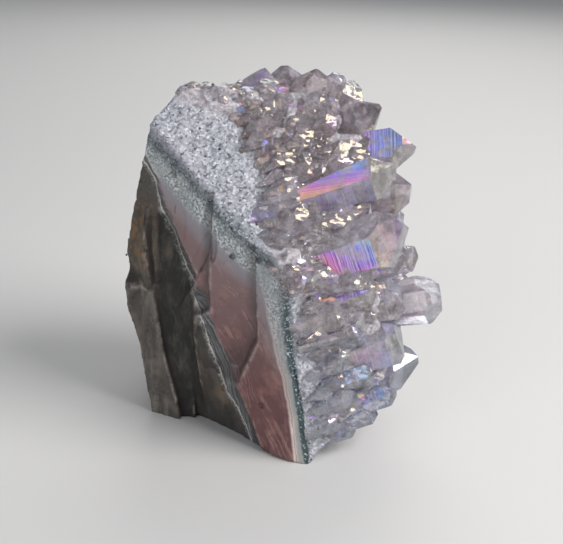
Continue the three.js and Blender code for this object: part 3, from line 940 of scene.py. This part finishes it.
def agate_body(finish, point, lines, wavy, high):
    """Red agate, duskier high up, with fine pale lines along it and broken veins across it."""
    body = finish.mix(high * 0.85, PINK, DUSKY_PINK)
    streaky = finish.noise(point, 6, 2).step(0.5, 0.6)
    body = finish.mix(lines.near(0.56, 0.1) * streaky * 0.3, body, PALE_PINK)
    body = finish.mix(finish.noise(point, 5, 4).step(0.5, 0.75) * 0.6, body, WARM_RED)
    across = finish.along(point, (0.85, 0.0, 0.52))
    veins = finish.stripes(across * 0.3 + wavy * 0.6, 2.0)
    broken_up = finish.noise(point, 9, 2).step(0.46, 0.6)
    body = finish.mix(veins.near(0.55, 0.06) * broken_up * 0.45, body, PALE_PINK)
    return finish.mix(finish.noise(point, 4, 5, 0.65).step(0.42, 0.3) * 0.5, body, DEEP_RED)


def agate_colour(finish, point, over_rind, under, high):
    """Slate against the rind, then the red agate, then white and grey to the quartz."""
    wavy = finish.noise(finish.stretched(point, (1, 1, 0.5)), 3.5, 3, 0.6)
    lines = finish.stripes(under * 1.1 + wavy * 2.5, 3.0)
    body = agate_body(finish, point, lines, wavy, high)
    bands = finish.ramp(under / BORDER_DEPTH, BORDERS)
    colour = finish.mix(under.step(3.5, 4.2), bands, body)
    streaks = finish.mix(lines.near(0.5, 0.05) * 0.5, SLATE, PALE_GREY)
    return finish.mix(over_rind.step(4.0, 3.0), colour, streaks)


def quartz_colour(finish, point):
    """Sugary where the crust is granular, veined and massive where crystals grow from it."""
    sugary = sugary_colour(finish, point)
    veined = finish.noise(point, 3, 5, 0.65, 1.0)
    massive = finish.mix(veined.step(0.35, 0.65), MASSIVE_SHADE, MASSIVE_LIGHT)
    return finish.mix(finish.mark("grown"), sugary, massive)


def sugary_colour(finish, point):
    """Pale grey quartz of bright and dark grains."""
    colour = finish.mix(finish.noise(point, 7, 4).step(0.3, 0.7), SUGAR_SHADE, SUGAR_LIGHT)
    colour = finish.mix(finish.noise(point, 0.55, 2).step(0.58, 0.72) * 0.6, colour, BRIGHT_GRAIN)
    colour = finish.mix(finish.noise(point, 0.8, 3, 0.7).step(0.42, 0.3) * 0.6, colour, DARK_GRAIN)
    return finish.mix(finish.noise(point, 3.0, 4, 0.7).step(0.4, 0.28) * 0.5, colour, SUGAR_PATCH)


def with_green_border(finish, point, colour, speckled, over_rind, under, high):
    """Adds the lilac and the speckled green-grey rock that lie under the quartz high on the wall."""
    green = finish.mix(speckled.step(0.4, 0.62), GREEN_DARK, GREEN_PALE)
    green = finish.mix(finish.noise(point, 3.5, 3).step(0.45, 0.6) * 0.7, green, GREEN_GREY)
    colour = finish.mix(under.step(7.6, 3.8) * high * over_rind.step(1, 2) * 0.9, colour, LILAC_GREY)
    return finish.mix(under.step(4.2, 2.6) * high * over_rind.step(1, 2), colour, green)


def wall_colour(finish, point):
    """Colour of the whole wall, from its height over the rind and over the agate."""
    sway = finish.noise(point, 6, 4, 0.6) - 0.5
    ripple = finish.noise(point, 1.6, 3) - 0.5
    drift = finish.noise(point, 13, 2) - 0.5
    high = finish.height(point).step(15, 58)
    over_rind = finish.mark("over_rind") + sway * 2.5 + ripple + drift * 5
    over_agate = finish.mark("over_agate") + sway * 1.6 + ripple * 0.5
    under = (0 - over_agate) * (1 - 0.45 * high)
    thin_border = 1 + 2.6 * finish.height(point).step(40, 48)
    speckled = finish.noise(point, 0.7, 3, 0.6)

    colour = agate_colour(finish, point, over_rind * thin_border, under, high)
    colour = with_green_border(finish, point, colour, speckled, over_rind, under, high)
    salted = finish.mix(speckled.step(0.45, 0.6), SALT_DARK, SALT_PALE)
    rind = finish.mix(over_rind.near(-0.7, 1.3) * 0.8, rind_colour(finish, point), salted)
    rind = finish.mix(over_rind.near(-0.4, 0.32), rind, WHITE_VEIN)
    colour = finish.mix(over_rind.step(-0.2, 0.2), rind, colour)
    colour = finish.mix(over_agate.step(-0.1, 0.5), colour, quartz_colour(finish, point))

    # Pale chipped edges on the step rims, partly a painted highlight where the edges catch the light.
    edge = finish.mark("rim") * finish.noise(point, 2.5, 3).step(0.35, 0.6)
    colour = finish.mix(edge * 0.75, colour, finish.mix(0.5, colour, PALE_EDGE_HIGHLIGHT))
    # Painted shade inside the foot of each step.
    colour = finish.mix(finish.mark("foot") * 0.6, colour, FOOT_SHADE)
    contact = over_agate.near(-0.3 + 0.8 * high, 1.5 + 1.6 * high)
    line = finish.mix(finish.noise(point, 0.6, 2).step(0.56, 0.66) * 0.8, TEAL, TEAL_SPECK)
    return finish.mix((contact * (1.5 - 0.8 * high)).capped(), colour, line)


def wall_finish(name, roughness, coat, glow, bump, sparkling=False):
    """A finish of the wall; where it sparkles, each grain of quartz is turned its own way."""
    finish = Finish(name)
    point = finish.place()
    fine = finish.noise(point, 0.9, 4, 0.65)
    values = {
        "Base Color": wall_colour(finish, point),
        "Roughness": roughness + 0.25 * (fine - 0.5),
        "Normal": finish.bump(fine, bump, 0.5),
        "Coat Weight": coat,
        "Coat Roughness": 0.12,
        "Subsurface Weight": glow,
        "Subsurface Radius": (0.0016, 0.001, 0.0009),
    }
    if sparkling:
        turned = 1.5 - 0.8 * finish.mark("grown")
        values["Normal"] = finish.tilted(values["Normal"], finish.grains(point, 0.6), turned)
    return finish.close(finish.node("BsdfPrincipled", {}, values))


# Colours of the rainbow film, from its start to its end.
FILM = [
    (0.0, (0.25, 0.6, 0.8)),
    (0.2, (0.2, 0.3, 0.9)),
    (0.42, (0.42, 0.2, 0.85)),
    (0.62, (0.8, 0.24, 0.6)),
    (0.78, (0.9, 0.42, 0.32)),
    (0.9, (0.75, 0.42, 0.1)),
    (1.0, (0.55, 0.42, 0.16)),
]


# Colour of a crystal by its darkness.
CLEAR_TO_SMOKY = [
    (0.0, (0.92, 0.95, 0.99)),
    (0.35, (0.95, 0.95, 0.93)),
    (0.6, (0.91, 0.89, 0.93)),
    (0.8, (0.76, 0.71, 0.68)),
    (1.0, (0.34, 0.34, 0.39)),
]
FAINT_LILAC = (0.95, 0.9, 0.97)
HONEY_GREY = (0.76, 0.67, 0.6)
NEARLY_WHITE = (1, 0.95, 1)
WHITE = (1, 1, 1)
SMOKY_BROWN = (0.52, 0.35, 0.3)
ICE_BLUE = (0.62, 0.74, 0.9)
DARK_PATCH_SHADE = (0.33, 0.33, 0.38)
MILK = (0.52, 0.48, 0.54)
DARK_STREAK = (0.12, 0.08, 0.2)
PALE_STREAK = (0.8, 0.78, 0.92)
AMBER_GLINT = (0.95, 0.52, 0.14)


def bare_crystal_colour(finish, point):
    """Colour of a crystal under its film: smoky high up, faintly blue low down, patchy all over, the dark
    patches partly painted shade.
    """
    dark = finish.mark("dark")
    height = finish.height(point)
    high, low = height.step(66, 88), height.step(45, 20)
    smoky = finish.noise(point, 9, 3).step(0.5, 0.64) * (0.2 + high * 0.8) * (1.15 - dark)
    colour = finish.mix(0.3, finish.ramp(dark, CLEAR_TO_SMOKY), FAINT_LILAC)
    colour = finish.mix(high * 0.4, colour, HONEY_GREY)
    colour = finish.mix(height.near(62, 24) * 0.6, colour, NEARLY_WHITE)
    colour = finish.mix(smoky * 0.75, colour, SMOKY_BROWN)
    colour = finish.mix(low * 0.7, colour, ICE_BLUE)
    # Dark patches: partly dark inclusions, partly painted shade between the crystals.
    colour = finish.mix(finish.noise(point, 2.4, 4, 0.6).step(0.48, 0.36) * 0.7, colour, DARK_PATCH_SHADE)
    return finish.mix(finish.noise(point, 2.0, 4, 0.6).step(0.56, 0.66) * 0.6, colour, WHITE)


def film_on_crystals(finish, point, chip, lines):
    """Colour of the rainbow film, and how strong it is: on chosen faces, single chips and glints; partly a
    real coating and partly painted reflection and glint.
    """
    prism = finish.mark("prism")
    film = finish.mark("film") + (finish.noise(point, 4, 4, 0.6) - 0.5) * 0.5
    shown = film.step(-0.08, 0.05) * film.step(1.1, 0.95)
    patchy = 0.35 + 0.65 * finish.noise(point, 3.5, 4, 0.6).step(0.38, 0.55)
    strength = finish.mark("coating") * shown * patchy
    rainbow = finish.mix(lines.step(0.46, 0.36) * prism * 0.7, finish.ramp(film, FILM), DARK_STREAK)
    rainbow = finish.mix(lines.step(0.52, 0.66) * prism * 0.6, rainbow, PALE_STREAK)

    gathered = finish.noise(point, 6, 2).step(0.58, 0.62)
    speck = finish.channel(chip, "Red").step(0.8, 0.81) * finish.mark("small") * gathered
    rainbow = finish.mix(speck, rainbow, finish.ramp(finish.channel(chip, "Green"), FILM))
    glint = finish.noise(point, 0.7, 2).step(0.66, 0.72) * finish.noise(point, 6, 2).step(0.5, 0.6)
    rainbow = finish.mix(glint, rainbow, AMBER_GLINT)
    return rainbow, finish.maximum(strength, finish.maximum(glint * 0.9, speck * 0.85))


def crystal_finish():
    """Clear glassy quartz with milky veils, small crystals chipped, and a rainbow film that is partly
    painted reflection.
    """
    finish = Finish("coated_amethyst")
    point = finish.place()
    chip = finish.grains(finish.stretched(point, (0.5, 1, 1)), 0.85)
    lines = finish.stripes(finish.mark("streak") * 2.0 + finish.noise(point, 3, 2) * 1.5, 5.0)
    bare = bare_crystal_colour(finish, point)
    rainbow, strength = film_on_crystals(finish, point, chip, lines)

    ridged = finish.bump(lines * finish.mark("prism"), 0.25, 0.3)
    worn = finish.bump(finish.noise(point, 3.2, 3, 0.5), 0.2, 0.6, ridged)
    chipped = finish.tilted(worn, chip, 0.06 + 0.5 * finish.mark("small"))
    glass = finish.node(
        "BsdfPrincipled",
        {},
        {
            "Base Color": finish.mix(strength, bare, rainbow),
            "Roughness": 0.04 + 0.16 * finish.noise(point, 4, 3),
            "Metallic": strength * 0.7,
            "IOR": 1.5,
            "Transmission Weight": 1.0,
            "Normal": chipped,
            "Thin Film Thickness": 285.0,
            "Thin Film IOR": 1.65,
        },
    )
    milk = finish.node(
        "BsdfPrincipled",
        {},
        {
            "Base Color": finish.mix(strength, finish.mix(0.55, bare, MILK), rainbow),
            "Roughness": 0.16,
            "IOR": 1.6,
            "Normal": chipped,
        },
    )
    veils = finish.noise(point, 6, 4, 0.6, 1.0).step(0.35, 0.7)
    root = finish.mark("from_tip").step(4, 16)
    cloudy = (0.06 + 0.26 * veils + 0.14 * root + 0.5 * strength).capped()
    inside = finish.node("VolumeAbsorption", {}, {"Color": (0.56, 0.52, 0.6, 1), "Density": 20.0})
    return finish.close(finish.node("MixShader", {}, {0: cloudy, 1: glass, 2: milk}), inside)


# ---- pieces ----
def piece(name, mesh, material, node):
    """Puts a finished piece in the frame, in metres, in place of a node of the solids."""
    points = (points_of(mesh) - MIDDLE) * MM
    moved(mesh, points)
    mesh.materials.clear()
    mesh.materials.append(material)
    item = put(name, mesh)
    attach(item, "root")
    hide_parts(node)


def step_edges(points):
    """Closeness to the edges of the steps in the broken side: on the rim, where a pale edge is partly
    painted highlight, and inside at the foot, where shade is painted.
    """
    settled = points - weathering(points)
    rim, foot = np.zeros(len(points)), np.zeros(len(points))
    for cut in SET_BACK[1:]:
        below_floor = beyond(cut[:1], settled)
        past_bounds = beyond(cut[1:], settled)
        open_side = below_floor < 0.6
        deep = smoothstep(0.6, 2.2, -below_floor)
        rim = np.maximum(rim, deep * smoothstep(1.1, 0.1, past_bounds) * (past_bounds > -0.3))
        foot = np.maximum(foot, open_side * smoothstep(-3, -0.3, past_bounds) * (past_bounds < 0.2))
    return rim, foot


def with_marks(mesh):
    """Stores what the wall's materials need to know at each point."""
    points = points_of(mesh)
    settled = points - weathering(points)
    over_rind, over_agate = strata(points)
    rim, foot = step_edges(points)
    marks = {
        "rim": rim,
        "foot": foot,
        "over_rind": over_rind,
        "over_agate": over_agate,
        "hollow": hollow_share(points),
        "grown": smoothstep(-1, 2, past_granular(points)),
        "block": smoothstep(1.0, 0.1, beyond(BLOCK_CUT, settled)),
        "knob": smoothstep(11, 5, np.linalg.norm((settled - KNOB_AT) * (1, 1, 0.8), axis=1)),
    }
    for name, values in marks.items():
        mesh.attributes.new(name, "FLOAT", "POINT").data.foreach_set("value", values)
    mesh.shade_smooth()
    return mesh


def build_stone():
    """The four visible pieces: rind, agate, granular quartz, and all crystals grown together."""
    rind, agate, quartz, under_quartz = rock_layers()
    basalt = wall_finish("basalt_and_celadonite", 0.75, 0.0, 0.0, 0.6)
    banded = wall_finish("banded_agate", 0.4, 0.3, 0.25, 0.25)
    granular = wall_finish("granular_quartz", 0.3, 0.2, 0.0, 0.5, sparkling=True)
    piece("rind", with_marks(rind), basalt, "basalt_rind")
    piece("agate", with_marks(agate), banded, "agate_band")
    piece("quartz", with_marks(quartz), granular, "amethyst_crust")
    small = [*crest_crystals(), *broken_crystals()]
    crystals = [*large_crystals(), *(crystal for crystal in small if not hides_large_crystal(crystal))]
    grown = crystal_mesh(crystals, under_quartz)
    piece("crystals", grown, crystal_finish(), "amethyst_crust")


# ---- camera, light and floor ----
CAMERA_AT = np.array([0, -290, 150])
CAMERA_PITCH, CAMERA_ROLL = math.radians(20.5), math.radians(1.8)
FOCAL_LENGTH, SENSOR_WIDTH = 68.42, 36


def build_camera():
    lens = bpy.data.cameras.new("camera")
    lens.lens = FOCAL_LENGTH
    lens.sensor_width = SENSOR_WIDTH
    lens.clip_start = 0.01
    camera = bpy.data.objects.new("camera", lens)
    camera.location = (CAMERA_AT - MIDDLE) * MM
    tilted = Matrix.Rotation(math.pi / 2 - CAMERA_PITCH, 4, "X")
    camera.rotation_euler = (tilted @ Matrix.Rotation(CAMERA_ROLL, 4, "Z")).to_euler()
    bpy.context.scene.collection.objects.link(camera)
    bpy.context.scene.camera = camera


def area_light(name, at, size, power, colour):
    """A round soft light that faces the stone; place and size in metres, power in watts."""
    light = bpy.data.lights.new(name, "AREA")
    light.shape = "DISK"
    light.size = size
    light.energy = power
    light.color = colour
    item = bpy.data.objects.new(name, light)
    item.location = at
    aim = Vector((0, 0, 0.05)) - Vector(at)
    item.rotation_euler = aim.to_track_quat("-Z", "Y").to_euler()
    bpy.context.scene.collection.objects.link(item)


def build_stage():
    shape = bmesh.new()
    bmesh.ops.create_grid(shape, x_segments=1, y_segments=1, size=3)
    mesh = bpy.data.meshes.new("floor")
    shape.to_mesh(mesh)
    shape.free()
    finish = Finish("pale_floor")
    plain = finish.node("BsdfPrincipled", {}, {"Base Color": (0.62, 0.61, 0.6, 1), "Roughness": 0.6})
    mesh.materials.append(finish.close(plain))
    put("floor", mesh)
    area_light("key", (0.62, -0.26, 0.6), 0.65, 9, (1, 0.99, 0.98))
    area_light("rim", (0.1, 0.75, 0.6), 0.8, 3.2, (1, 0.99, 0.97))
    area_light("fill", (-0.55, -0.75, 0.4), 0.6, 2.0, (0.93, 0.96, 1))
    world = bpy.data.worlds.new("studio")
    world.use_nodes = True
    world.node_tree.nodes["Background"].inputs["Color"].default_value = (0.8, 0.84, 0.9, 1)
    world.node_tree.nodes["Background"].inputs["Strength"].default_value = 0.3
    bpy.context.scene.world = world
    bpy.context.scene.view_settings.view_transform = "Standard"


build_camera()
build_stage()
build_stone()
